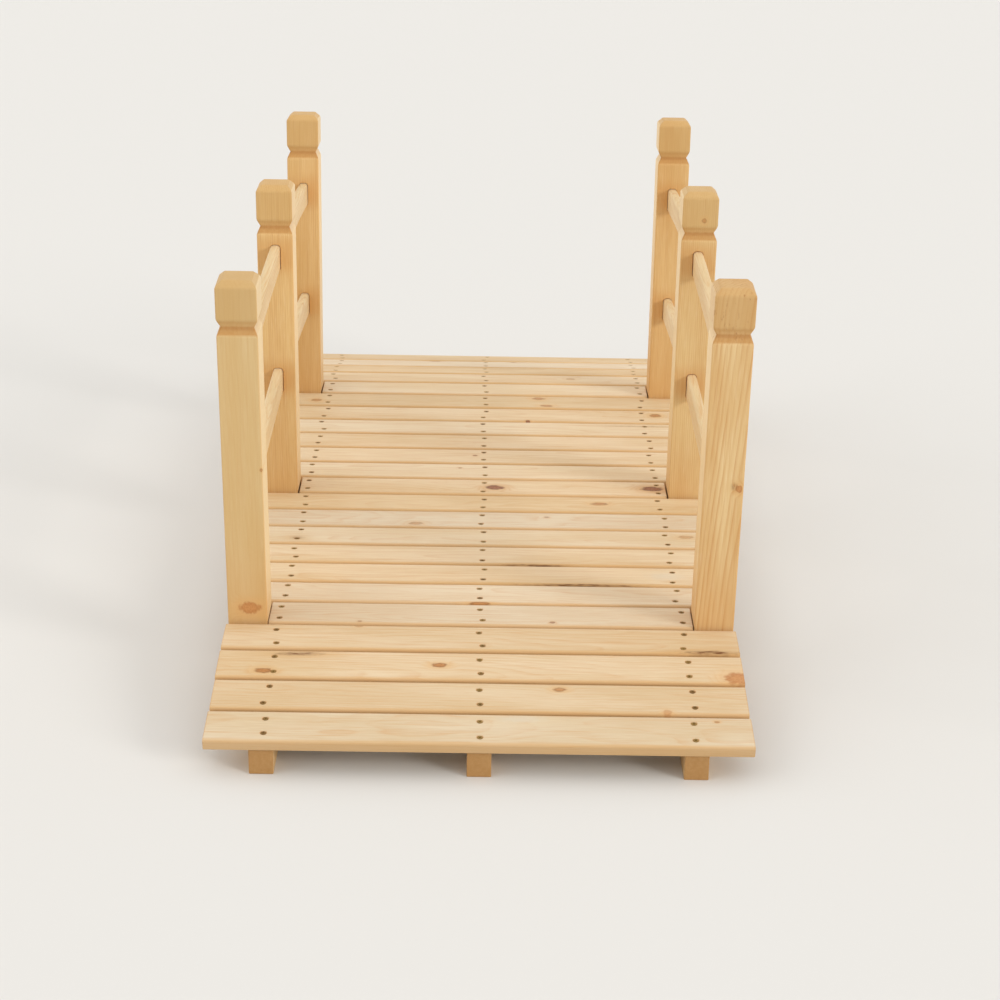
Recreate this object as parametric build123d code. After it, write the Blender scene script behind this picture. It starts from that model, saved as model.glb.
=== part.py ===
from build123d import *
from math import copysign, cos, degrees, radians, sin
import os

# Low wooden footbridge for a garden: a boarded deck on three beams, with three posts and
# two rails along each side. Millimetres, +Z up. The bridge stands on Z = 0, its length runs
# along Y and its width along X, and the origin is on the ground under the middle.
# Places along the deck are runs: lengths along its bent line, measured from the middle.

# Deck boards
board_count = 23
board_length = 670
board_width = 62
board_thickness = 15
board_gap = 3
board_edge_radius = 4
board_overhang = 3

# Line of the deck: level in the middle, then a bend down to a short straight ramp
ramp_length = 146
ramp_angle = 9
bend_radius = 1080

# Beams
beam_thickness = 30
beam_end_height = 35
beam_setback = 4
beam_foot_length = 145
beam_arch_rise = 25

# Posts: one at each end and one in the middle of each side, beside the outer beams
post_size = 52
post_height = 470
post_end_clearance = 5
end_post_lean = 3
end_post_board = 5
board_end_gap = 2

# Post heads
head_height = 50
head_chamfer = 8
groove_height = 21
groove_depth = 5

# Rails: slightly arched, let through the middle posts and into the end ones. A rail lies in
# its slots at the bottom and on the outside, and the play is above it and on the inside.
rail_thickness = 14
rail_height = 38
rail_corner_radius = 5
upper_rail_level = 364
lower_rail_level = 177
rail_arch_rise = 25
rail_tenon_length = 24
rail_play = 1.6
rail_seat_gap = 0.3

# Places along the deck
board_pitch = board_width + board_gap
deck_half_run = (board_count * board_pitch - board_gap) / 2
beam_half_run = deck_half_run - beam_setback
bend_run = bend_radius * radians(ramp_angle)
level_half_run = deck_half_run - ramp_length - bend_run
middle_board = (board_count + 1) // 2
far_post_board = board_count + 1 - end_post_board
post_boards = (end_post_board, middle_board, far_post_board)

# Places across the deck: the boards end just beyond the posts, and the outer beams stand
# against the posts' inner faces
post_x = board_length / 2 - board_overhang - post_size / 2
post_inner_x = post_x - post_size / 2
beam_spacing = post_inner_x - beam_thickness / 2


def bent_angle(run):
    """Angle in radians by which the deck line has turned down at a run."""
    return min(max(abs(run) - level_half_run, 0), bend_run) / bend_radius


def ramp_part(run):
    """Length of a run that lies on the ramp."""
    return max(abs(run) - level_half_run - bend_run, 0)


def drop_at(run):
    """Fall of the deck line below its level part."""
    turn = bent_angle(run)
    return bend_radius * (1 - cos(turn)) + ramp_part(run) * sin(turn)


def reach_at(run):
    """Place of a run along Y."""
    turn = bent_angle(run)
    level = min(abs(run), level_half_run)
    return copysign(level + bend_radius * sin(turn) + ramp_part(run) * cos(turn), run)


# Heights of the level part
beam_level = beam_end_height + drop_at(beam_half_run)
deck_level = beam_level + board_thickness

# Posts end above the highest point of the beams' arches, and are all cut to one length
post_length = post_height + deck_level - beam_arch_rise - post_end_clearance


def beam_top(run):
    """Point (Y, Z) of the beams' top edges."""
    return (reach_at(run), beam_level - drop_at(run))


def board_run(number):
    """Run of the middle of a board, counted from 1 at the front end."""
    return (number - (board_count + 1) / 2) * board_pitch


def make_board(number):
    """Deck board with eased top edges, square to the deck line. Between posts it is short."""
    length = 2 * (post_inner_x - board_end_gap) if number in post_boards else board_length
    with BuildPart() as board:
        Box(length, board_width, board_thickness, align=(Align.CENTER, Align.CENTER, Align.MIN))
        fillet(board.faces().sort_by(Axis.Z)[-1].edges(), radius=board_edge_radius)
    run = board_run(number)
    y, z = beam_top(run)
    slope = -copysign(degrees(bent_angle(run)), run)
    return Location((0, y, z), (slope, 0, 0)) * board.part


def make_beam(x):
    """Beam sawn to the deck line on top, with a low arch between its two feet."""
    bend_start = level_half_run
    bend_end = level_half_run + bend_run
    end_y = reach_at(beam_half_run)
    foot_y = end_y - beam_foot_length
    with BuildPart() as beam:
        with BuildSketch(Plane.YZ):
            with BuildLine():
                Polyline((-end_y, 0), beam_top(-beam_half_run), beam_top(-bend_end))
                ThreePointArc(*[beam_top(-run) for run in (bend_end, bend_end - bend_run / 2, bend_start)])
                Line(beam_top(-bend_start), beam_top(bend_start))
                ThreePointArc(*[beam_top(run) for run in (bend_start, bend_end - bend_run / 2, bend_end)])
                Polyline(beam_top(bend_end), beam_top(beam_half_run), (end_y, 0), (foot_y, 0))
                ThreePointArc((foot_y, 0), (0, beam_arch_rise), (-foot_y, 0))
                Line((-foot_y, 0), (-end_y, 0))
            make_face()
        extrude(amount=beam_thickness / 2, both=True)
    return Pos(x, 0, 0) * beam.part


def post_side_view():
    """Right half and left half of a post's outline, from its foot up."""
    half = post_size / 2
    groove_top = post_length - head_height
    right = [
        (half, 0),
        (half, groove_top - groove_height),
        (half - groove_depth, groove_top - groove_height / 2),
        (half, groove_top),
        (half, post_length - head_chamfer),
        (half - head_chamfer, post_length),
    ]
    left = [(-x, z) for x, z in reversed(right)]
    return right + left


def make_square_post():
    """Post whose four sides all have the same outline, so its groove and top are mitred."""
    with BuildPart() as post:
        for plane, mode in ((Plane.XZ, Mode.ADD), (Plane.YZ, Mode.INTERSECT)):
            with BuildSketch(plane):
                with BuildLine():
                    Polyline(*post_side_view(), close=True)
                make_face()
            extrude(amount=post_size, both=True, mode=mode)
    return post.part


def post_y(number):
    """Middle of a post at deck level: its front stands on the gap before its board."""
    return reach_at(board_run(number) - board_pitch / 2) + post_size / 2


def post_lean(number):
    """Lean of a post in degrees about X: the end posts lean outwards."""
    return {end_post_board: end_post_lean, far_post_board: -end_post_lean}.get(number, 0)


def post_location(number, side):
    """Seat of a post's foot, beside the outer beam of its side."""
    at_deck = Location((side * post_x, post_y(number), deck_level), (post_lean(number), 0, 0))
    return at_deck * Pos(0, 0, post_height - post_length)


# Arc of the rails, with its crown at the middle posts
rail_crown_y = post_y(middle_board)
rail_half_span = (post_y(far_post_board) - post_y(end_post_board)) / 2
rail_radius = (rail_half_span ** 2 + rail_arch_rise ** 2) / (2 * rail_arch_rise)


def rail_end_y(number, level):
    """End of a rail, inside the end post of the given board."""
    lean = radians(post_lean(number))
    outward = copysign(1, post_y(number) - rail_crown_y)
    middle = post_y(number) - (level - rail_arch_rise) * sin(lean) / cos(lean)
    return middle + outward * (rail_tenon_length - post_size / 2 / cos(lean))


def rail_point(y, level):
    """Point (Y, Z) in the middle of a rail's section."""
    fall = rail_radius - (rail_radius ** 2 - (y - rail_crown_y) ** 2) ** 0.5
    return (y, deck_level + level - fall)


def rail_bar(level, play=0, end_gap=0):
    """Arched bar with rounded corners: a rail, or with play and gaps the slots that take it."""
    front_y = rail_end_y(end_post_board, level) - end_gap
    back_y = rail_end_y(far_post_board, level) + end_gap
    with BuildPart() as bar:
        with BuildLine(Plane.YZ) as path:
            ThreePointArc(*[rail_point(y, level) for y in (front_y, rail_crown_y, back_y)])
        with BuildSketch(Plane(path.line @ 0, x_dir=(1, 0, 0), z_dir=path.line % 0)):
            RectangleRounded(rail_thickness + play, rail_height + play, rail_corner_radius + play / 2)
        sweep()
    return bar.part


def make_post(number, side):
    """Square post with the slots of both rails, leaning with its place on the deck."""
    post = post_location(number, side) * make_square_post()
    offset = rail_play / 2 - rail_seat_gap
    for level in (upper_rail_level, lower_rail_level):
        post -= Pos(side * (post_x - offset), 0, offset) * rail_bar(level, rail_play, rail_seat_gap)
    return post


def make_rail(level, side):
    """Rail of one side, from end post to end post."""
    return Pos(side * post_x, 0, 0) * rail_bar(level)


nodes = {
    "beam_left": make_beam(-beam_spacing),
    "beam_centre": make_beam(0),
    "beam_right": make_beam(beam_spacing),
}
for number in range(1, board_count + 1):
    nodes[f"deck_board_{number:02d}"] = make_board(number)
for side_name, side in (("left", -1), ("right", 1)):
    for place, number in zip(("front", "middle", "back"), post_boards):
        nodes[f"post_{side_name}_{place}"] = make_post(number, side)
    nodes[f"rail_{side_name}_upper"] = make_rail(upper_rail_level, side)
    nodes[f"rail_{side_name}_lower"] = make_rail(lower_rail_level, side)

os.makedirs("parts", exist_ok=True)
for name, solid in nodes.items():
    export_step(solid, f"parts/{name}.step")

print("beam level", round(beam_level, 2), "deck level", round(deck_level, 2))
print("overall height", round(deck_level + post_height, 1), "nodes", len(nodes))
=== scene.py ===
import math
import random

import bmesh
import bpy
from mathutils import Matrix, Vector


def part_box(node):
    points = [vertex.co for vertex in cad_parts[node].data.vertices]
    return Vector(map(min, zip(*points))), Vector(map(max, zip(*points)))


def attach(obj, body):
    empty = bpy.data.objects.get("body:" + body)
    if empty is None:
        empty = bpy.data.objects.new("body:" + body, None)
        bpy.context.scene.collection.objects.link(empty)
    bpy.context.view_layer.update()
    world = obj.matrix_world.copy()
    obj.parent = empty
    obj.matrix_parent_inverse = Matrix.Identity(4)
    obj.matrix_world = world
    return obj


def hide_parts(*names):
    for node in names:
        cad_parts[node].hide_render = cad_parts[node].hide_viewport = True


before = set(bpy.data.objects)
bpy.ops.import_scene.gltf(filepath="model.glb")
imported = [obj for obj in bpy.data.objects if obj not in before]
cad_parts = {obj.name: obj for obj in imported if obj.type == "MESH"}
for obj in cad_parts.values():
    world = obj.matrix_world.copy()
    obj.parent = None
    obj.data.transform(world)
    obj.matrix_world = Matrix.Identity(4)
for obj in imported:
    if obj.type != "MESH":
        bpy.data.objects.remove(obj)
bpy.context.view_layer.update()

# %% [markdown]
# # A small wooden footbridge, dressed in Blender
#
# The solids of the bridge come in from the CAD model as a fixed frame: three beams, a deck
# of narrow boards, six posts and four arched rails. This script adds the camera, the light
# and the finish. Most pieces are shaped again here with softer edges, and each of them takes
# the place of the solid that it stands for.

MM = 0.001
print("nodes in the frame:", len(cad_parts))

# %% [markdown]
# ## Camera
#
# The photograph looks along the bridge from above its near end, with a long lens. The place
# and the turn of the camera were worked out from the gaps between the boards, the rows of
# screws and the posts, so the render and the photograph can be laid over each other.

# %% Camera
camera_data = bpy.data.cameras.new("camera")
camera_data.lens = 76.03
camera_data.sensor_width = 36
camera = bpy.data.objects.new("camera", camera_data)
camera.location = (0.0016, -2.9945, 1.2845)
camera.rotation_euler = [math.radians(turn) for turn in (67.817, -0.958, -0.071)]
bpy.context.collection.objects.link(camera)
bpy.context.scene.camera = camera
bpy.context.scene.view_settings.view_transform = "Standard"
print("camera stands", round(camera.location.z, 2), "m above the ground")

# %% [markdown]
# ## Shader sums
#
# A wood pattern is a formula: how far a point is from the heart of the tree decides which
# year ring it lies in. Blender's nodes can say that, but a formula is easier to read as a
# line of Python. The class below wraps a socket, and each operator on it adds a Math node.


# %% Sockets that add and multiply
class Value:
    """A shader socket. Where it carries a number, it can be used in a sum."""

    def __init__(self, finish, socket):
        self.finish = finish
        self.socket = socket

    def math(self, operation, *others):
        """Add a Math node that takes this value and others."""
        inputs = dict(enumerate((self, *others)))
        return self.finish.node("ShaderNodeMath", {"operation": operation}, inputs)

    def __add__(self, other):
        return self.math("ADD", other)

    def __sub__(self, other):
        return self.math("SUBTRACT", other)

    def __mul__(self, other):
        return self.math("MULTIPLY", other)

    def __truediv__(self, other):
        return self.math("DIVIDE", other)

    def __mod__(self, other):
        return self.math("FLOORED_MODULO", other)

    def __neg__(self):
        return self * -1

    def __abs__(self):
        return self.math("ABSOLUTE")

    def __rsub__(self, other):
        return -self + other

    __radd__ = __add__
    __rmul__ = __mul__

    def root(self):
        """The square root."""
        return self.math("SQRT")

    def most(self, other):
        """The larger of two values."""
        return self.math("MAXIMUM", other)

    def rise(self, low, high):
        """0 below low, 1 above high, and a soft step between them."""
        inputs = {"Value": self, "From Min": low, "From Max": high}
        return self.finish.node("ShaderNodeMapRange", {"interpolation_type": "SMOOTHSTEP"}, inputs)

    def output(self, name):
        """Another output of the same node."""
        return Value(self.finish, self.socket.node.outputs[name])


# %% [markdown]
# One method adds any node: the node's type, its settings, and then the values or links of
# its sockets. A finish is the node tree of a material.


# %% Node trees and finishes
class NodeTree:
    """A node tree whose nodes are added by one method."""

    def __init__(self, tree):
        self.tree = tree

    def node(self, kind, settings, inputs, output=0):
        """Add a node and return one of its outputs."""
        node = self.tree.nodes.new(kind)
        for name, setting in settings.items():
            if name == "stops":
                self.set_stops(node.color_ramp, setting)
            else:
                setattr(node, name, setting)
        for name, value in inputs.items():
            self.feed(node.inputs[name], value)
        return Value(self, node.outputs[output])

    def feed(self, socket, value):
        """Link a socket, or set it to a plain value."""
        if isinstance(value, Value):
            self.tree.links.new(value.socket, socket)
        else:
            socket.default_value = value

    def set_stops(self, ramp, stops):
        """Give a ramp its stops, each with its place and its grey level."""
        while len(ramp.elements) < len(stops):
            ramp.elements.new(1)
        for element, (place, level) in zip(ramp.elements, stops):
            element.position = place
            element.color = (level, level, level, 1)

    def mix(self, factor, first, second):
        """Mix two colours. The Mix node keeps its colour sockets at places 6, 7 and 2."""
        inputs = {0: factor, 6: first, 7: second}
        return self.node("ShaderNodeMix", {"data_type": "RGBA"}, inputs, 2)


class Finish(NodeTree):
    """A material, painted by its node tree."""

    def __init__(self, name):
        self.material = bpy.data.materials.new(name)
        self.material.use_nodes = True
        super().__init__(self.material.node_tree)
        self.shader = self.tree.nodes["Principled BSDF"]

    def show(self, **values):
        """Give the shader its colour, roughness and so on."""
        for name, value in values.items():
            self.feed(self.shader.inputs[name.replace("_", " ")], value)


def colour(red, green, blue):
    """A colour as it looks on the screen, from 0 to 255, as Blender's linear light."""
    levels = [level / 255 for level in (red, green, blue)]
    return (*[((v + 0.055) / 1.055) ** 2.4 if v > 0.04 else v / 12.92 for v in levels], 1)


print("pine colour in linear light:", [round(level, 3) for level in colour(230, 201, 159)])

# %% [markdown]
# ## Light
#
# A pale sky, brighter overhead than at the horizon, lights everything from above. A low sun
# from the front right brightens the sides of the posts and lets each rail shade the wood
# beside it, and a wide, weak lamp from the left softens what the sun leaves dark. Together
# they give a level surface a light of a little over 1, so a colour renders close to how it
# is written.
# The camera and the gloss see a white sky, which Light Path's rays tell apart, while the
# light on the wood stays at its own level.

# %% Sky
overhead_light = 1.15
horizon_light = 0.25
world = bpy.data.worlds.new("sky")
world.use_nodes = True
sky = NodeTree(world.node_tree)
ray = sky.node("ShaderNodeLightPath", {}, {}, "Is Camera Ray")
seen = ray.most(ray.output("Is Glossy Ray")).most(ray.output("Is Transmission Ray"))
direction = sky.node("ShaderNodeTexCoord", {}, {})
upward = sky.node("ShaderNodeSeparateXYZ", {}, {0: direction}, "Z").most(0)
light = horizon_light + upward * (overhead_light - horizon_light)
background = world.node_tree.nodes["Background"]
background.inputs["Color"].default_value = (1.0, 0.995, 0.985, 1)
sky.feed(background.inputs["Strength"], light * (1 - seen) + seen)
bpy.context.scene.world = world


# %% Lamps
def add_sun(name, energy, spread, height, turn):
    """Distant lamp: its width, height and turn about Z in degrees; returns its level light."""
    lamp_data = bpy.data.lights.new(name, "SUN")
    lamp_data.energy = energy
    lamp_data.angle = math.radians(spread)
    lamp_data.color = (1.0, 0.985, 0.96)
    lamp = bpy.data.objects.new(name, lamp_data)
    lamp.rotation_euler = (math.radians(90 - height), 0, math.radians(turn))
    bpy.context.collection.objects.link(lamp)
    return energy * math.sin(math.radians(height)) / math.pi


level_light = horizon_light + (overhead_light - horizon_light) * 2 / 3
level_light += add_sun("low sun", 1.4, 20, 20, 57) + add_sun("left lamp", 1.0, 60, 25, -80)
print("light on a level surface:", round(level_light, 2))

# %% [markdown]
# ## Floor
#
# A plain pale floor, large enough to fill the picture behind the bridge. Like every shape in
# this script it is built as a bmesh, which Blender's operators work on, and then becomes a
# mesh, which Blender shows.


# %% Floor
def as_mesh(name, shape):
    """Mesh of a bmesh, which is freed."""
    mesh = bpy.data.meshes.new(name)
    shape.to_mesh(mesh)
    shape.free()
    return mesh


floor_paint = Finish("floor paint")
floor_paint.show(Base_Color=colour(224, 222, 218), Roughness=0.9)
floor_shape = bmesh.new()
bmesh.ops.create_grid(floor_shape, x_segments=1, y_segments=1, size=30)
floor = bpy.data.objects.new("floor", as_mesh("floor", floor_shape))
floor.data.materials.append(floor_paint.material)
bpy.context.collection.objects.link(floor)
print("floor is", floor.dimensions.x, "m wide")

# %% [markdown]
# ## Pine
#
# Every piece is planed pine with a clear finish: honey coloured, with faint year rings,
# short fibres and a knot here and there. An image would stretch over the edges. A formula in
# three dimensions does not, because the year rings are shells round the heart of the tree.
# The heart lies beside or below the piece, so one sum draws long lines and arches on the
# faces and arcs on the ends. Each piece is cut from another place in the tree.
#
# First the place of a point in its piece, in millimetres. A Mapping node undoes the seat and
# the slope of the piece, and the axes are put in the order along, across and through.


# %% Where a point lies in the grain
class Pine(Finish):
    """Finish of one piece of pine."""

    def __init__(self, name, seat, slope, grain, seed):
        super().__init__(name)
        self.pick = random.Random(seed)
        self.slope = slope
        self.grain = grain
        place = self.node("ShaderNodeTexCoord", {}, {}, "Object")
        inputs = {"Vector": place, "Location": seat, "Rotation": (slope, 0, 0),
                  "Scale": (MM, MM, MM)}
        local = self.node("ShaderNodeMapping", {"vector_type": "TEXTURE"}, inputs)
        axes = self.node("ShaderNodeSeparateXYZ", {}, {0: local})
        order = {"x": "XYZ", "y": "YXZ", "z": "ZXY"}[grain]
        self.along, self.across, self.through = [axes.output(axis) for axis in order]

    def noise(self, long, wide, detail=2.0):
        """Noise whose lumps are so many millimetres long and wide, new at each call."""
        sizes = ((self.along, long), (self.across, wide), (self.through, wide))
        parts = [part.math("MULTIPLY_ADD", 1 / size, self.pick.uniform(-50, 50))
                 for part, size in sizes]
        spot = self.node("ShaderNodeCombineXYZ", {}, dict(enumerate(parts)))
        return self.node("ShaderNodeTexNoise", {}, {"Vector": spot, "Scale": 1.0, "Detail": detail})


# %% [markdown]
# The heart of the tree is a line that runs nearly along the piece. Slow noise bends the
# rings a little. Where a knot grows through the wood, the rings swing round it. In each ring
# the colour rises slowly to the dark late wood and drops sharply where the next year starts.


# %% Year rings
def year_rings(wood, heart, drift, wobble, ring_width, knots):
    """Darkness of the late wood, from 0 to 1."""
    over = wood.across - heart[0] + wood.along * drift[0] + (wood.noise(330, 70) - 0.5) * wobble
    under = wood.through - heart[1] + wood.along * drift[1] + (wood.noise(260, 70) - 0.5) * wobble
    distance = (over * over + under * under).root()
    for knot in knots:
        distance += knot["swing"]
    rings = distance / ring_width + wood.noise(900, 14) * 0.8
    stops = [(0.0, 0.2), (0.1, 0.0), (0.5, 0.08), (0.84, 0.7), (0.94, 1.0), (1.0, 0.3)]
    late = wood.node("ShaderNodeValToRGB", {"stops": stops}, {0: rings % 1})
    strength = wood.noise(400, 9).rise(0.3, 0.72)
    return late * (0.25 + 0.9 * strength)


# %% [markdown]
# A knot is where a branch left the stem. Its mask is an oval in the face of the board, with
# a ragged outline from noise. It has a brown rim, a lighter middle and an orange glow round
# it. Into the wood it narrows like the branch, so it does not band the side faces. The same
# oval makes the dark streaks and the pale scuffs that some boards have, with other colours.

# %% Colours of the marks: middle, rim and glow
mark_colours = {
    "knot": ((180, 116, 58), (130, 80, 36), (216, 168, 106)),
    "dark": ((146, 86, 56), (98, 56, 34), (208, 156, 100)),
    "red": ((194, 130, 74), (170, 102, 50), (220, 170, 108)),
    "streak": ((104, 58, 22), (104, 58, 22), (206, 164, 108)),
    "scuff": ((214, 208, 192), (214, 208, 192), (226, 208, 174)),
}
print("kinds of marks:", ", ".join(mark_colours))


# %% Marks in the wood
def marks_of(wood, places, level, deep):
    """Masks of the knots and streaks of a piece. Sizes are half lengths and half widths, and
    the marks are widest on the face at a level and end at a depth below it."""
    if not places:
        return []
    inward = (wood.through - level) / deep
    sunk = inward * inward
    ragged = (wood.noise(9, 5, 3.0) - 0.5) * 0.9
    strands = wood.noise(15, 1.0, 3.0).rise(0.42, 0.58)
    flecks = wood.noise(3, 1.6, 3.0).rise(0.35, 0.7)
    marks = []
    for kind, along, across, long, wide, strength in places:
        u = (wood.along - along) / long
        v = (wood.across - across) / wide
        reach = (u * u + v * v + sunk).root()
        close = 1 - reach.rise(0.2, 3.4)
        rough = reach + ragged
        swing = close * close * (wide * 1.3 if kind in ("knot", "dark", "red") else 0)
        if kind in ("streak", "scuff"):
            body = (1 - rough.rise(0.2, 1.2)) * strength
        else:
            body = (1 - rough.rise(0.68, 1.14)) * (0.82 + 0.18 * flecks) * strength
        if kind == "streak":
            body *= 0.28 + 0.72 * strands
        rim = rough.rise(0.35, 0.9) * 0.7 + flecks * 0.3
        glow = (1 - reach.rise(0.8, 2.6)) * (0.5 * strength)
        marks.append({"kind": kind, "swing": swing, "body": body, "rim": rim, "glow": glow})
    return marks


def stain(wood, base, marks):
    """Paint the marks over the wood's colour."""
    for mark in marks:
        middle, rim, glow = [colour(*tone) for tone in mark_colours[mark["kind"]]]
        base = wood.mix(mark["glow"], base, glow)
        base = wood.mix(mark["body"], base, wood.mix(mark["rim"], middle, rim))
    return base


# %% [markdown]
# End grain drinks the finish, so the sawn ends and the chamfers are darker and more orange.
# How much a face is an end shows in the angle between its normal and the grain. A slanting
# cut tears the fibres and drinks the most. The edges are handled the most, so they are a
# little worn and stained, more in some places.


# %% Ends and edges
def end_stain(wood):
    """0 on a face along the grain, 1 on a slanting cut, less on a square end."""
    normal = wood.node("ShaderNodeNewGeometry", {}, {}, "True Normal")
    straight = Vector([float(wood.grain == name) for name in "xyz"])
    inputs = {0: normal, 1: tuple(Matrix.Rotation(wood.slope, 3, "X") @ straight)}
    facing = abs(wood.node("ShaderNodeVectorMath", {"operation": "DOT_PRODUCT"}, inputs, "Value"))
    torn = 0.75 + 0.5 * wood.noise(5, 5, 3.0)
    return facing.rise(0.2, 0.5) * (1 - 0.4 * facing.rise(0.78, 0.95)) * torn


def wear(wood, half_across, half_through, depth):
    """1 along the four long edges of a piece, uneven."""
    near_side = abs(wood.across).rise(half_across - depth, half_across)
    near_face = abs(wood.through).rise(half_through - depth, half_through)
    return near_side * near_face * (0.55 + wood.noise(60, 60) * 0.9)


# %% [markdown]
# Now the whole finish. Broad patches and streaks of honey lie under the rings, fine fibres
# lie over them, and each piece has its own tone. What only some pieces have comes last, as
# touches: a touch is a function that takes the wood and its colour so far and returns the
# new colour. The fibres and the late wood also stand up a little and take the gloss
# differently, which the Bump node and the roughness give.


# %% Pine finish
def pine(name, seat, slope, grain, seed, tones, tone=1.0, *, rings, ring_width, heart, drift,
         wobble=26, late_colour=(202, 148, 90), fibre=1.0, end=0.5, end_colour=(198, 136, 74),
         half=None, wear_depth=5, wear_strength=0.5, marks=(), mark_level=(12, 26), touches=()):
    """Planed pine with a clear finish, in millimetres: where the piece lies and how its grain
    runs, its pale and its honey tone, how strong and wide its rings are, where the heart of
    the tree lies and how it drifts, and what stains the ends, the edges and the rest or paints
    light and shade on them."""
    wood = Pine(name, seat, slope, grain, seed)
    spots = marks_of(wood, marks, *mark_level)
    late = year_rings(wood, heart, drift, wobble, ring_width, spots)
    fibres = wood.noise(30, 1.1, 3.0)
    lines = wood.noise(140, 2.2, 2.0)
    pale, honey = [colour(*[level * tone for level in levels]) for levels in tones]
    dark = colour(*late_colour)
    base = wood.mix(wood.noise(260, 45).rise(0.32, 0.7), pale, honey)
    base = wood.mix(wood.noise(190, 5).rise(0.45, 0.8) * 0.5, base, honey)
    base = wood.mix(late * rings, base, dark)
    base = wood.mix(lines.rise(0.5, 0.85) * (0.5 * fibre), base, dark)
    base = wood.mix(fibres.rise(0.5, 0.85) * (0.4 * fibre), base, dark)
    base = wood.mix(fibres.rise(0.5, 0.15) * (0.3 * fibre), base, colour(244, 226, 194))
    drunk = end_stain(wood) * (end(wood) if callable(end) else end)
    base = wood.mix(drunk, base, colour(*end_colour))
    if half:
        worn = wear(wood, *half, wear_depth) * wear_strength
        base = wood.mix(worn, base, colour(212, 158, 98))
    for touch in touches:
        base = touch(wood, base)
    base = stain(wood, base, spots)
    relief = {"Strength": 0.4, "Distance": 0.0004, "Height": fibres * 0.4 + late * 0.5}
    wood.show(Base_Color=base, Roughness=0.48 + late * 0.08 + fibres * 0.16,
              Specular_IOR_Level=0.26, Coat_Weight=0.03, Coat_Roughness=0.3,
              Normal=wood.node("ShaderNodeBump", {}, relief))
    return wood.material


# %% [markdown]
# ## Pieces
#
# A piece starts as a bmesh, gets its finish, and rides on the bridge. Its large faces stay
# flat and only the narrow bevels turn the light, which the Weighted Normal modifier does.
# Nothing in the real world has a perfectly sharp edge, so each piece is bevelled, and one
# function gives the operator its settings.


# %% Make a piece
def add_piece(name, shape, finish, replaces=None):
    """Object from a bmesh, with its material, riding on the bridge."""
    piece = bpy.data.objects.new(name, as_mesh(name, shape))
    bpy.context.collection.objects.link(piece)
    piece.data.materials.append(finish)
    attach(piece, "root")
    if replaces:
        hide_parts(replaces)
    return piece


def smooth(piece, angle=35):
    """Smooth shading with flat large faces and sharp corners."""
    piece.data.shade_smooth()
    piece.data.set_sharp_from_angle(angle=math.radians(angle))
    normals = piece.modifiers.new("flat faces", "WEIGHTED_NORMAL")
    normals.keep_sharp = True
    normals.weight = 100


def bevel(shape, edges, radius, segments, clamp=False):
    """Round some edges. Clamping stops a bevel where it would meet another."""
    bmesh.ops.bevel(shape, geom=edges, offset=radius, offset_type="OFFSET", segments=segments,
                    profile=0.5, affect="EDGES", material=-1, clamp_overlap=clamp)


# %% [markdown]
# ## Deck boards
#
# Each board is a planed strip with rounded top edges. The CAD solids give the seat and the
# slope of each one. A cube is stretched to a board, its top edges get a wide bevel and the
# others a small one. Real boards are never quite alike, so each is a little shorter,
# narrower or turned against its neighbour.


# %% Where a board lies
def seat_of_board(name):
    """Middle of a board's underside, its slope, and its length, width and thickness."""
    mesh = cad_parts[name].data
    under = sum((face.normal * face.area for face in mesh.polygons if face.normal.z < -0.7),
                Vector((0, 0, 0)))
    up = -under.normalized()
    slope = math.atan2(-up.y, up.z)
    forward = Vector((0, math.cos(slope), math.sin(slope)))
    corners = [vertex.co for vertex in mesh.vertices]
    runs = [corner.dot(forward) for corner in corners]
    heights = [corner.dot(up) for corner in corners]
    middle = forward * ((min(runs) + max(runs)) / 2) + up * min(heights)
    length = 2 * max(corner.x for corner in corners)
    return middle, slope, (length, max(runs) - min(runs), max(heights) - min(heights))


middle, slope, size = seat_of_board("deck_board_01")
print("first board slopes", round(math.degrees(slope), 1), "degrees, size",
      [round(part / MM, 1) for part in size])


# %% A board
def board_shape(length, width, thickness):
    """Planed board on the origin, its underside at 0, with rounded top edges."""
    shape = bmesh.new()
    bmesh.ops.create_cube(shape, size=1)
    bmesh.ops.translate(shape, vec=(0, 0, 0.5), verts=shape.verts)
    bmesh.ops.scale(shape, vec=(length, width, thickness), verts=shape.verts)
    long = [edge for edge in shape.edges
            if min(vertex.co.z for vertex in edge.verts) > 0 and edge.calc_length() > 2 * width]
    bevel(shape, long, 4.4 * MM, 5)
    sharp = [edge for edge in shape.edges if edge.calc_face_angle(0) > math.radians(70)]
    bevel(shape, sharp, 1.2 * MM, 2)
    return shape


# %% [markdown]
# Two screws hold each board to each beam. Their heads sit in small countersunk holes, which
# are cut with cones by a Boolean modifier. The rows wander a little, as hand-driven screws do.

# %% Screw places
screw_rows = (-265, 0, 265)
screw_from_middle = 16.5
screw_pick = random.Random(23)
print("screws in a board:", 2 * len(screw_rows))


def screw_places():
    """Places of a board's screws on its top: X and distance across, in metres."""
    places = []
    for row in screw_rows:
        for side in (-1, 1):
            x = row + screw_pick.uniform(-3.5, 3.5)
            across = side * screw_from_middle + screw_pick.uniform(-2.5, 2.5)
            places.append((x * MM, across * MM))
    return places


# %% Cut the screw holes
def countersinks(places, thickness):
    """Cones that cut the screw holes into a board's top."""
    cones = bmesh.new()
    for x, y in places:
        cone = bmesh.ops.create_cone(cones, cap_ends=True, segments=20, radius1=2.4 * MM,
                                     radius2=5.3 * MM, depth=2.2 * MM)
        bmesh.ops.translate(cones, vec=(x, y, thickness - 0.6 * MM), verts=cone["verts"])
    return cones


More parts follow.
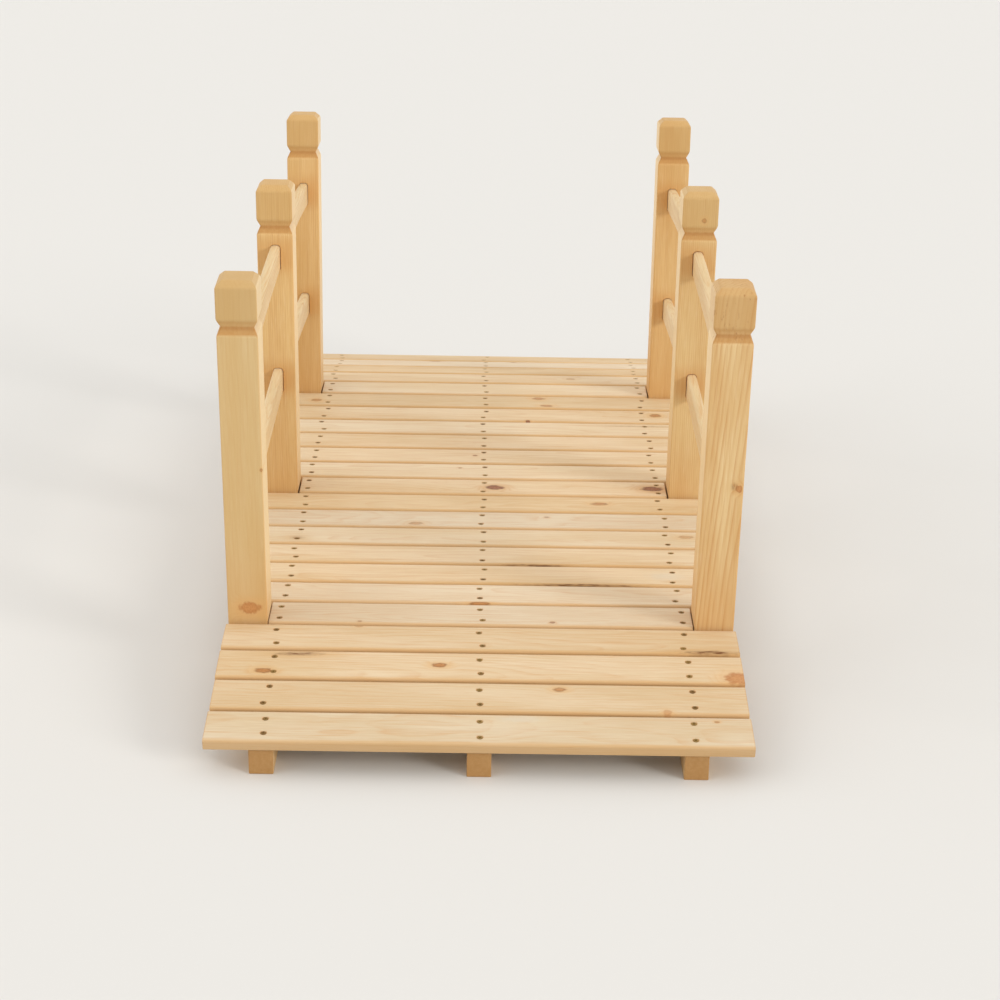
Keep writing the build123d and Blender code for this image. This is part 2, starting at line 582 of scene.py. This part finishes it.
def cut(piece, shape):
    """Cut a shape out of a piece and keep the result as the piece's mesh."""
    cutter = bpy.data.objects.new("cutter", as_mesh("cutter", shape))
    bpy.context.collection.objects.link(cutter)
    boolean = piece.modifiers.new("cut", "BOOLEAN")
    boolean.operation = "DIFFERENCE"
    boolean.solver = "EXACT"
    boolean.object = cutter
    result = piece.evaluated_get(bpy.context.evaluated_depsgraph_get())
    spent = (piece.data, cutter.data)
    piece.data = bpy.data.meshes.new_from_object(result)
    piece.modifiers.clear()
    bpy.data.objects.remove(cutter)
    for mesh in spent:
        bpy.data.meshes.remove(mesh)


# %% [markdown]
# The marks that the photograph shows are set on their boards. Each has its kind, its place
# along and across the board, its half length and half width, and how strong it is.

# %% Marks on the boards
board_marks = {
    1: [("knot", 292, 20, 3.5, 2, 0.7), ("scuff", 49, 20, 34, 9, 0.35)],
    2: [("knot", 100, 17, 9, 4.5, 0.75), ("red", 232, -27, 6, 5, 0.5)],
    3: [("knot", -52, 1, 11, 5.5, 0.9), ("knot", -274, -16, 12, 6, 0.9),
        ("streak", -232, 22, 34, 5, 1.0), ("red", 326, -19, 17, 12, 0.85)],
    4: [("streak", 298, -27, 42, 4.5, 1.0), ("knot", -160, 27, 6, 3, 0.5)],
    5: [("dark", 94, -21, 4, 3, 0.7), ("dark", -160, -25, 3, 2, 0.6)],
    6: [("knot", -3, -29.5, 15, 2.6, 0.85)],
    # The streaks along the front edges of boards 7 and 8 are painted shade in the gaps on the
    # right, near the near right post.
    7: [("streak", 140, -30, 95, 2.2, 0.8), ("scuff", 253, 0, 30, 14, 0.3)],
    8: [("streak", 72, -30, 50, 2.0, 0.8)],
    9: [("streak", -266, -13, 12, 8, 0.5), ("knot", 294, 9, 12, 6, 0.5)],
    10: [("knot", -98, -18, 11, 6, 0.55), ("dark", 94, 12, 4, 3, 0.5)],
    11: [("knot", 174, 2, 13, 6, 0.7)],
    12: [("dark", 17, -3, 15, 9, 0.95), ("dark", 258, 1, 17, 10, 0.95)],
    13: [("dark", -37, 12, 3, 2, 0.8)],
    14: [("dark", -14, 2, 4, 3, 0.7)],
    16: [("streak", 255, 17, 70, 3, 0.5)],
    17: [("knot", 286, 6, 10, 8, 0.8), ("dark", 72, -29, 4, 4, 0.9)],
    18: [("knot", 92, 17, 11, 7, 0.7), ("knot", 105, -19, 11, 6, 0.7),
         ("knot", -285, -7, 9, 7, 0.65)],
    20: [("knot", 150, 4, 9, 5, 0.5)],
    22: [("knot", -92, 26, 12, 5, 0.7), ("dark", 52, 26, 6, 4, 0.7)],
}
print("boards with marks:", len(board_marks))

# %% [markdown]
# Two boards next to each other are seldom from the same plank, so some are paler, greyer or
# more golden, and each has its own tone. The numbers follow the photograph. The long sides of
# the boards are painted more orange, mostly the front one, as painted shade in the gaps between
# the boards and on the front of the first. The upper long edges lie 31 mm across and 15 mm up
# from a board's seat.

# %% Looks of the boards
# Boards 1 to 4 lie on the ramp, which faces the low sun more, so their lower tones are partly
# painted shade.
board_tones = {1: 0.934, 2: 0.942, 3: 0.96, 4: 0.957, 5: 0.97, 6: 1.0, 8: 0.98, 9: 0.975,
               10: 0.968, 11: 0.98, 13: 1.0, 14: 0.985, 15: 0.985, 17: 0.98, 18: 0.95,
               20: 0.985, 22: 1.01, 23: 0.98}
usual_tone = 0.99
usual_wood = ((234, 210, 174), (224, 195, 152))
other_woods = {
    "pale": ((1, 9, 13, 16, 19), ((234, 214, 182), (226, 201, 162))),
    "grey": ((5, 6, 10, 22), ((231, 213, 184), (223, 200, 167))),
    "golden": ((11, 18, 21, 23), ((230, 203, 161), (219, 187, 140))),
}
half_board = (31, 15)
print("boards of other woods:", {kind: numbers for kind, (numbers, tones) in other_woods.items()})


def side_shade(wood, base):
    """Give the long sides of a board painted shade, the front one more."""
    edge, strength = half_board[0], 0.65
    front = (-wood.across).rise(edge - 7.5, edge - 1) * (0.6 + 0.4 * wood.noise(90, 30))
    base = wood.mix(front * strength, base, colour(205, 165, 110))
    both = abs(wood.across).rise(edge - 2.5, edge) * (0.7 * strength)
    return wood.mix(both, base, colour(196, 152, 98))


def board_finish(number, middle, slope):
    """Pine for one board of the deck."""
    pick = random.Random(number * 101)
    tones = usual_wood
    for numbers, other_tones in other_woods.values():
        if number in numbers:
            tones = other_tones
    heart = (pick.uniform(-22, 22), pick.choice((-1, 1)) * pick.uniform(16, 80))
    return pine(f"pine board {number:02d}", middle, slope, "x", number * 7, tones,
                board_tones.get(number, usual_tone), rings=pick.uniform(0.2, 0.42),
                ring_width=pick.uniform(2.6, 4.4), heart=heart,
                drift=(pick.uniform(-0.02, 0.02), pick.uniform(-0.035, 0.035)),
                half=half_board, marks=board_marks.get(number, ()), touches=(side_shade,))


# %% [markdown]
# Three boards end between posts, and reach nearly to them: the photograph shows only a thin
# dark line there. For each of them the table gives how much longer it is than its solid, and
# how far to the right it lies. The random sizes come from a seed, so that they are the same
# each time.

# %% Make the boards
board_count = 23
post_boards = {5: (3.2, -0.2), 12: (1.2, 0), 19: (2, 0)}
screw_seats = []
for number in range(1, board_count + 1):
    name = f"deck_board_{number:02d}"
    middle, slope, (length, width, thickness) = seat_of_board(name)
    pick = random.Random(number)
    longer, aside = post_boards[number] if number in post_boards else (-pick.uniform(0.6, 3.0), 0)
    length += longer * MM
    width -= pick.uniform(0.4, 1.2) * MM
    thickness -= pick.uniform(0.0, 0.3) * MM
    shape = board_shape(length, width, thickness)
    finish = board_finish(number, middle, slope)
    board = add_piece(f"board_{number:02d}", shape, finish, name)
    places = screw_places()
    cut(board, countersinks(places, thickness))
    twist = Matrix.Rotation(pick.uniform(-0.0006, 0.0006), 4, "Z")
    place = Matrix.Translation((aside * MM, 0, 0)) @ Matrix.Translation(middle)
    seat = place @ Matrix.Rotation(slope, 4, "X") @ twist
    board.data.transform(seat)
    smooth(board)
    screw_seats += [seat @ Matrix.Translation((x, y, thickness)) for x, y in places]
print("boards:", board_count, "screws:", len(screw_seats))

# %% [markdown]
# ## Screws
#
# The screws are yellow zinc with a cross recess, and some are dirtier. One head is modelled:
# a short cone whose top is inset. Of each four corners of the inset three are drawn in, which
# makes a cross, and the cross is then pushed down. The head is copied to every seat and
# turned by a random angle. All heads are one object, because there are so many, and each has
# only a few dozen faces.


# %% A screw head
def screw_head():
    """Flat head with a cross recess, its top at 0."""
    head = bmesh.new()
    bmesh.ops.create_cone(head, cap_ends=True, segments=16, radius1=2.6 * MM, radius2=3.6 * MM,
                          depth=1.2 * MM)
    bmesh.ops.translate(head, vec=(0, 0, -0.6 * MM), verts=head.verts)
    top = max(head.faces, key=lambda face: face.calc_center_median().z)
    bmesh.ops.inset_individual(head, faces=[top], thickness=1.1 * MM)
    around = sorted(top.verts, key=lambda vertex: math.atan2(vertex.co.y, vertex.co.x))
    for index, vertex in enumerate(around):
        if index % 4 in (1, 2, 3):
            pull = 0.62 if index % 4 == 2 else 0.5
            bmesh.ops.scale(head, vec=(pull, pull, 1), verts=[vertex])
    bottom = bmesh.ops.extrude_discrete_faces(head, faces=[top])["faces"][0].verts
    bmesh.ops.translate(head, vec=(0, 0, -1.0 * MM), verts=bottom)
    bmesh.ops.scale(head, vec=(0.7, 0.7, 1), verts=bottom)
    return head


# %% Yellow zinc
zinc = Finish("yellow zinc")
point = zinc.node("ShaderNodeTexCoord", {}, {}, "Object")
grime = zinc.node("ShaderNodeTexNoise", {}, {"Vector": point, "Scale": 420.0, "Detail": 3.0})
dirt = zinc.node("ShaderNodeTexNoise", {}, {"Vector": point, "Scale": 27.0}).rise(0.42, 0.62)
clean = zinc.mix(grime, colour(182, 147, 80), colour(120, 93, 54))
zinc.show(Base_Color=zinc.mix(dirt * 0.45, clean, colour(112, 74, 44)), Metallic=0.45,
          Roughness=0.38 + grime * 0.3)
print("nodes of the zinc:", len(zinc.tree.nodes))


# %% Set the screws
def set_on(target, mesh, seat):
    """Add a copy of a mesh to a bmesh, on a seat."""
    known = len(target.verts)
    target.from_mesh(mesh)
    target.verts.ensure_lookup_table()
    bmesh.ops.transform(target, matrix=seat, verts=target.verts[known:])


head = as_mesh("screw head", screw_head())
sunk = Matrix.Translation((0, 0, -0.5 * MM))
screws = bmesh.new()
for seat in screw_seats:
    turn = Matrix.Rotation(screw_pick.uniform(0, math.pi / 2), 4, "Z")
    set_on(screws, head, seat @ sunk @ turn)
print("faces of the screws:", len(screws.faces))
add_piece("deck_screws", screws, zinc.material)
bpy.data.meshes.remove(head)

# %% [markdown]
# ## Posts, rails and beams
#
# Their solids have the right shape, but sharp edges. A sawn and sanded edge catches the
# light, so each solid is copied, its loose triangles are merged into plain faces, and its
# sharp edges get a small bevel.


# %% Ease the edges of a solid
def whole(name):
    """Copy of a CAD node, its loose triangles merged into plain faces."""
    shape = bmesh.new()
    shape.from_mesh(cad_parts[name].data)
    bmesh.ops.remove_doubles(shape, verts=shape.verts, dist=0.01 * MM)
    bmesh.ops.dissolve_limit(shape, angle_limit=math.radians(0.5), verts=shape.verts,
                             edges=shape.edges)
    return shape


def ease(shape, radius, sharper_than, inside=lambda place: True):
    """Round the outward edges that are sharper than an angle, where they lie inside a region."""
    sharp = [edge for edge in shape.edges
             if edge.calc_face_angle(0) > math.radians(sharper_than) and edge.is_convex
             and all(inside(vertex.co) for vertex in edge.verts)]
    bevel(shape, sharp, radius, 3, clamp=True)
    return shape


def middle_of(name):
    """Middle of a node's box."""
    low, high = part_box(name)
    return (Vector(low) + Vector(high)) / 2


print("middle of the near left post:", middle_of("post_left_front"))

# %% [markdown]
# The solids leave each rail more than a millimetre of play in its slot. Damp wood swells, so
# on the bridge less of it is left, and the upper and the inner wall of each slot are drawn
# in. The corners of a slot lie in rings round it: at its mouths, and at its end or halfway
# through. They are found by their place in the post, and each corner moves by its distance
# from the wall that stays.


# %% Draw the slots in
slot_zone = 10 * MM
slot_width = 15.6
outer_wall = 7.3
drawn_in = 0.5 * MM
between_rings = 28 * MM
between_slots = 60 * MM


def tighten(shape, middle):
    """Draw the upper and the inner wall of each slot in, and count the rings of corners."""
    toward = -math.copysign(1, middle.x)
    rings = {}
    for vertex in shape.verts:
        if abs(vertex.co.x - middle.x) < slot_zone:
            depth = round((vertex.co.y - middle.y) / between_rings)
            is_upper = vertex.co.z > middle.z + between_slots
            rings.setdefault((depth, is_upper), []).append(vertex.co)
    for corners in rings.values():
        low = min(corner.z for corner in corners)
        high = max(corner.z for corner in corners)
        for corner in corners:
            from_wall = (corner.x - middle.x) * toward / MM + outer_wall
            corner.z -= drawn_in * (corner.z - low) / (high - low)
            corner.x -= drawn_in * toward * from_wall / slot_width
    return len(rings)


# %% [markdown]
# The mouths of the slots keep a crisp edge, and the corners of the post are softer. Where
# two bevels meet, their corners can land on each other, so these are merged. The faces with
# many corners are cut into triangles after that, so that no triangle folds back on another.


# %% A post
def post_shape(name):
    """Post with snug, crisp slots and softer corners."""
    shape = whole(name)
    middle = middle_of(name)
    print(name, "has", tighten(shape, middle), "rings of slot corners")
    ease(shape, 0.4 * MM, 40, lambda place: abs(place.x - middle.x) < slot_zone)
    ease(shape, 2.2 * MM, 20, lambda place: abs(place.x - middle.x) > slot_zone)
    bmesh.ops.remove_doubles(shape, verts=shape.verts, dist=0.002 * MM)
    bmesh.ops.triangulate(shape, faces=[face for face in shape.faces if len(face.verts) > 4])
    return shape


# %% [markdown]
# Some things are painted on top of the pine, each by a touch of its own. The sides that face
# the deck are painted paler, a painted highlight, and near the deck the posts are painted a
# deeper honey, a painted reflection of the light from the boards. Below the deck the sides
# that face it are painted dark brown, a painted shade. Heights are in millimetres above the
# middle of a post, as the grain of a post runs along its height.

# %% Sides of the posts
deck_below_middle = 204
# A dark brown and its strength, painted as shade below the deck on the posts and on the tops of the
# beams.
shade_brown = (104, 60, 28)
shade_strength = 0.85
print("posts are dark from", deck_below_middle, "mm below their middle")


def normal_part(wood, axis):
    """One part of the normal of a flat face."""
    normal = wood.node("ShaderNodeNewGeometry", {}, {}, "True Normal")
    return wood.node("ShaderNodeSeparateXYZ", {}, {0: normal}, axis)


def inner_side_light_and_shade(toward, fade):
    """Touch for the side facing the deck, where toward is 1 if that is +X: a painted highlight,
    fading between two heights, and painted shade below the deck."""
    def touch(wood, base):
        facing = (normal_part(wood, "X") * toward).rise(0.6, 0.95)
        base = wood.mix(facing * wood.along.rise(*fade) * 0.6, base, colour(246, 226, 186))
        below = (-wood.along).rise(deck_below_middle, deck_below_middle + 3)
        return wood.mix(facing * below * shade_strength, base, colour(*shade_brown))
    return touch


def foot_reflection(wood, base):
    """Paint the lower part of a post a deeper honey, a painted reflection of light from the deck.
    """
    return wood.mix((-wood.along).rise(40, 230) * 0.3, base, colour(208, 150, 86))


# %% [markdown]
# The walls of the slots are painted brown, a painted shade that shows as a thin brown line
# round each rail. Round the slots the posts are painted a little more orange, a painted shade
# from the rails. An end post has slots only in the side that faces the middle one.

# %% Slots of the posts
upper_slots = {"front": 137, "middle": 162, "back": 137}
slot_sides = {"front": 1, "middle": 0, "back": -1}
between_rails = 187
slots_middle = 50
print("heights of the upper slots above the middle:", upper_slots)


def slot_wall_shade(wood, base):
    """Paint the walls of both slots brown, a painted shade in the gap round each rail."""
    inside = 1 - abs(wood.across).rise(8.3, 8.7)
    wall = 1 - abs(normal_part(wood, "Y")).rise(0.9, 0.98)
    level = 1 - abs(wood.along - slots_middle).rise(130, 140)
    return wood.mix(inside * wall * level, base, colour(212, 108, 40))


def rail_shade(upper, way):
    """Touch for the painted shade round the rails: upper is the height of the upper slot, and way
    is 1 or -1 where only the side facing +Y or -Y has slots, and 0 where both have."""
    def touch(wood, base):
        facing = normal_part(wood, "Y") * way if way else abs(normal_part(wood, "Y"))
        for level in (upper, upper - between_rails):
            close = facing.rise(0.6, 0.9) * (1 - abs(wood.along - level).rise(12, 36))
            base = wood.mix(close * 0.3, base, colour(200, 140, 76))
        return base
    return touch


# %% [markdown]
# The groove under the head was sawn, and a ragged dark line is painted in its bottom. The head
# itself is a little darker than the post. On one post the saw tore the grain of the head a little.

# %% Grooves and heads of the posts
groove_height = 201.5
torn_posts = ("post_right_front",)
print("posts with torn heads:", len(torn_posts))


def on_head(wood):
    """0 on the post, 1 on its head."""
    return wood.along.rise(200, 214)


def groove_line(wood, base):
    """Paint a ragged dark line in the bottom of the groove, and the head a little darker."""
    base = wood.mix(on_head(wood) * 0.5, base, colour(195, 156, 98))
    close = 1 - abs(wood.along - groove_height).rise(0.6, 4.0)
    return wood.mix(close * (0.1 + 0.3 * wood.noise(4, 7)), base, colour(170, 108, 54))


def torn_head(wood, base):
    """Paint short brown flecks of torn grain on the head and round the groove."""
    flecks = wood.noise(9, 3, 3.0).rise(0.57, 0.72) * wood.noise(30, 14).rise(0.42, 0.6)
    base = wood.mix(on_head(wood) * 0.25, base, colour(194, 140, 78))
    return wood.mix(flecks * wood.along.rise(186, 200) * 0.6, base, colour(162, 106, 56))


def post_end(wood):
    """The lower side of the groove drinks the most stain, the top of the head the least."""
    return 0.9 - 0.35 * wood.along.rise(202, 206) - 0.4 * wood.along.rise(230, 240)


# %% [markdown]
# The posts are sawn near the heart of the tree, so their rings are close and their lines
# straight. The near left post has a spike knot low down, and the near right one a knot at
# its outer edge. The looks of each post follow the photograph: its pale and its honey tone,
# how strong the rings are and how wide, where the heart of the tree lies, how much the lines
# slant and how strong the fine fibres are.

# %% Looks of the posts
post_marks = {
    "post_left_front": [("red", -186, 3, 9, 15, 0.8), ("knot", 12, 24, 2.5, 2, 0.7)],
    "post_right_front": [("red", -4, 20, 5.5, 5, 0.9), ("streak", -1, 14, 6, 6, 0.5)],
    "post_right_middle": [("knot", 222, 6, 4, 4, 0.6)],
}
post_looks = {
    "post_left_front": (((217, 188, 137), (212, 179, 124)), 0.1, 4.2, (70, 60), 0.004, 0.4),
    "post_left_middle": (((228, 192, 132), (220, 178, 117)), 0.42, 2.9, (95, 12), -0.01, 1.0),
    "post_left_back": (((225, 187, 128), (215, 173, 111)), 0.4, 2.8, (-90, 20), 0.01, 0.8),
    "post_right_front": (((230, 201, 149), (216, 176, 118)), 0.65, 5.6, (34, -46), -0.06, 0.8),
    "post_right_middle": (((228, 199, 144), (219, 184, 127)), 0.42, 2.7, (-100, 14), 0.01, 0.9),
    "post_right_back": (((223, 185, 126), (213, 170, 109)), 0.4, 2.8, (90, -20), -0.01, 0.8),
}
print("posts with marks:", len(post_marks))

# %% [markdown]
# The end posts lean outwards by three degrees, which turns their grain as well. On the left
# posts the painted highlight on the inner side fades out only near the boards. On the right
# ones it fades from the upper slot down.

# %% Make the posts
leans = {"front": 3, "middle": 0, "back": -3}
inward = {"left": 1, "right": -1}
highlight_fades = {"left": (-240, -120), "right": (-230, 140)}
half_post = 26
for side, toward in inward.items():
    for place, lean in leans.items():
        name = f"post_{side}_{place}"
        tones, rings, ring_width, heart, slant, fibre = post_looks[name]
        touches = [foot_reflection, rail_shade(upper_slots[place], slot_sides[place]), groove_line,
                   inner_side_light_and_shade(toward, highlight_fades[side]), slot_wall_shade]
        if name in torn_posts:
            touches.append(torn_head)
        finish = pine(f"pine post {side} {place}", middle_of(name), math.radians(lean), "z", name,
                      tones, rings=rings, ring_width=ring_width, heart=heart, drift=(slant, 0.02),
                      wobble=9, late_colour=(196, 136, 74), fibre=fibre, end=post_end,
                      end_colour=(192, 140, 78), half=(half_post, half_post), wear_depth=2.5,
                      wear_strength=0.35, marks=post_marks.get(name, ()),
                      mark_level=(-half_post, 20), touches=touches)
        smooth(add_piece(f"{side}_{place}_post", post_shape(name), finish, name))

# %% [markdown]
# The rails are sawn to their arch from straight boards, so their grain runs straight while
# the wood curves through it.

# %% Rails
rail_tones = ((233, 209, 166), (222, 195, 148))
for side in ("left", "right"):
    for level in ("upper", "lower"):
        name = f"rail_{side}_{level}"
        pick = random.Random(name)
        ring_width = pick.uniform(3.4, 4.6)
        heart = (pick.uniform(-60, 60), pick.uniform(30, 70))
        finish = pine(f"pine rail {side} {level}", middle_of(name), 0, "y", name, rail_tones, 0.99,
                      rings=0.5, ring_width=ring_width, heart=heart,
                      drift=(0, pick.uniform(-0.02, 0.02)), wobble=8, late_colour=(205, 152, 94))
        shape = ease(whole(name), 0.5 * MM, 60)
        smooth(add_piece(f"{side}_{level}_rail", shape, finish, name))
        print(name, "has rings", round(ring_width, 1), "mm wide")

# %% [markdown]
# The beams are thicker timber, and their sawn ends show below the first board. Those ends are
# stained deeper than other ends, partly end grain and partly painted shade under the boards.
# Their tops are painted dark brown, a painted shade that shows beside the posts.


# %% Beams
def shaded_top(wood, base):
    """Paint the top faces dark brown, a painted shade."""
    upward = normal_part(wood, "Z").rise(0.9, 0.97)
    return wood.mix(upward * shade_strength, base, colour(*shade_brown))


beam_tones = ((226, 190, 136), (214, 172, 116))
for place in ("left", "centre", "right"):
    name = f"beam_{place}"
    pick = random.Random(name)
    heart = (pick.uniform(-30, 30), pick.uniform(-90, -40))
    # The strong, dark end stain is partly end grain and partly painted shade under the boards.
    finish = pine(f"pine beam {place}", middle_of(name), 0, "y", name, beam_tones, 0.98,
                  rings=0.45, ring_width=3.2, heart=heart, drift=(0, pick.uniform(-0.02, 0.02)),
                  wobble=12, late_colour=(196, 136, 76), end=1.5, end_colour=(172, 128, 76),
                  touches=(shaded_top,))
    shape = ease(whole(name), 1.2 * MM, 40)
    smooth(add_piece(f"{place}_beam", shape, finish, name))
    print(name, "has its heart", round(-heart[1]), "mm below its middle")

# %% [markdown]
# ## Coach bolts
#
# Each post is held to its outer beam by two coach bolts, as such bridges have. The low round
# head shows on the outside of the post, and a washer and a hexagon nut on the inside of the
# beam. All but the nut are round, so a closed half outline is spun round its axis. Each
# outline lists places from the axis and above the wood, in millimetres. The nut is a
# cylinder with six sides, a little chamfered.

# %% Parts of a bolt
dome = [(0, 2.6), (3.2, 2.3), (5.6, 1.5), (7.0, 0.5), (7.2, 0), (0, 0)]
washer = [(3.0, 0), (8.5, 0), (8.5, 1.3), (8.2, 1.6), (3.0, 1.6), (3.0, 0)]
thread_end = [(0, 9.6), (2.2, 9.6), (2.9, 8.9), (2.9, 6.0), (0, 6.0)]
washer_top = 1.6
nut_width = 10
nut_height = 5


def spun(outline):
    """Shape made by spinning a half outline, in millimetres, round Z."""
    shape = bmesh.new()
    corners = [shape.verts.new((x * MM, 0, z * MM)) for x, z in outline]
    edges = [shape.edges.new(pair) for pair in zip(corners, corners[1:])]
    bmesh.ops.spin(shape, geom=corners + edges, cent=(0, 0, 0), axis=(0, 0, 1),
                   angle=math.radians(360), steps=20, use_merge=True)
    bmesh.ops.remove_doubles(shape, verts=shape.verts, dist=0.001 * MM)
    bmesh.ops.recalc_face_normals(shape, faces=shape.faces)
    return shape


def nut_shape():
    """Hexagon nut that stands on the washer."""
    shape = bmesh.new()
    radius = nut_width / 2 / math.cos(math.radians(30)) * MM
    bmesh.ops.create_cone(shape, cap_ends=True, segments=6, radius1=radius, radius2=radius,
                          depth=nut_height * MM)
    bmesh.ops.translate(shape, vec=(0, 0, (washer_top + nut_height / 2) * MM), verts=shape.verts)
    rims = [edge for edge in shape.edges if edge.calc_face_angle(0) > math.radians(80)]
    bevel(shape, rims, 0.5 * MM, 2)
    return shape


heads = [as_mesh("dome", spun(dome))]
nuts = [as_mesh("washer", spun(washer)), as_mesh("thread end", spun(thread_end)),
        as_mesh("nut", nut_shape())]
print("faces of a bolt:", sum(len(mesh.polygons) for mesh in heads + nuts))

# %% [markdown]
# The zinc of the bolts is dull and a little stained. The two bolts of a post sit one above
# the other and a little apart along the bridge, so they do not split the wood along one line.
# Their places are in millimetres from the middle of the post, along the bridge and upwards.

# %% Dull zinc
dull_zinc = Finish("dull zinc")
point = dull_zinc.node("ShaderNodeTexCoord", {}, {}, "Object")
bloom = dull_zinc.node("ShaderNodeTexNoise", {}, {"Vector": point, "Scale": 260.0, "Detail": 3.0})
stained = dull_zinc.mix(bloom.rise(0.3, 0.7), colour(196, 196, 192), colour(158, 156, 150))
dull_zinc.show(Base_Color=stained, Metallic=0.85, Roughness=0.34 + bloom * 0.25)
print("nodes of the dull zinc:", len(dull_zinc.tree.nodes))

# %% Set the bolts
bolt_places = ((-11, -252), (11, -237))
bolts = bmesh.new()
for side, toward in inward.items():
    outside = Matrix.Rotation(math.radians(-90 * toward), 4, "Y")
    inside = Matrix.Rotation(math.radians(90 * toward), 4, "Y")
    beam_low, beam_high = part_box(f"beam_{side}")
    for place, lean in leans.items():
        post_low, post_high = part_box(f"post_{side}_{place}")
        outer, inner = (post_low, beam_high) if side == "left" else (post_high, beam_low)
        middle = middle_of(f"post_{side}_{place}")
        turn = Matrix.Rotation(math.radians(lean), 3, "X")
        for y, z in bolt_places:
            spot = middle + turn @ Vector((0, y * MM, z * MM))
            head_seat = Matrix.Translation((outer[0], spot.y, spot.z)) @ outside
            nut_seat = Matrix.Translation((inner[0], spot.y, spot.z)) @ inside
            for mesh in heads:
                set_on(bolts, mesh, head_seat)
            for mesh in nuts:
                set_on(bolts, mesh, nut_seat)
smooth(add_piece("coach_bolts", bolts, dull_zinc.material), 40)
for mesh in heads + nuts:
    bpy.data.meshes.remove(mesh)
print("bolts:", len(inward) * len(leans) * len(bolt_places))
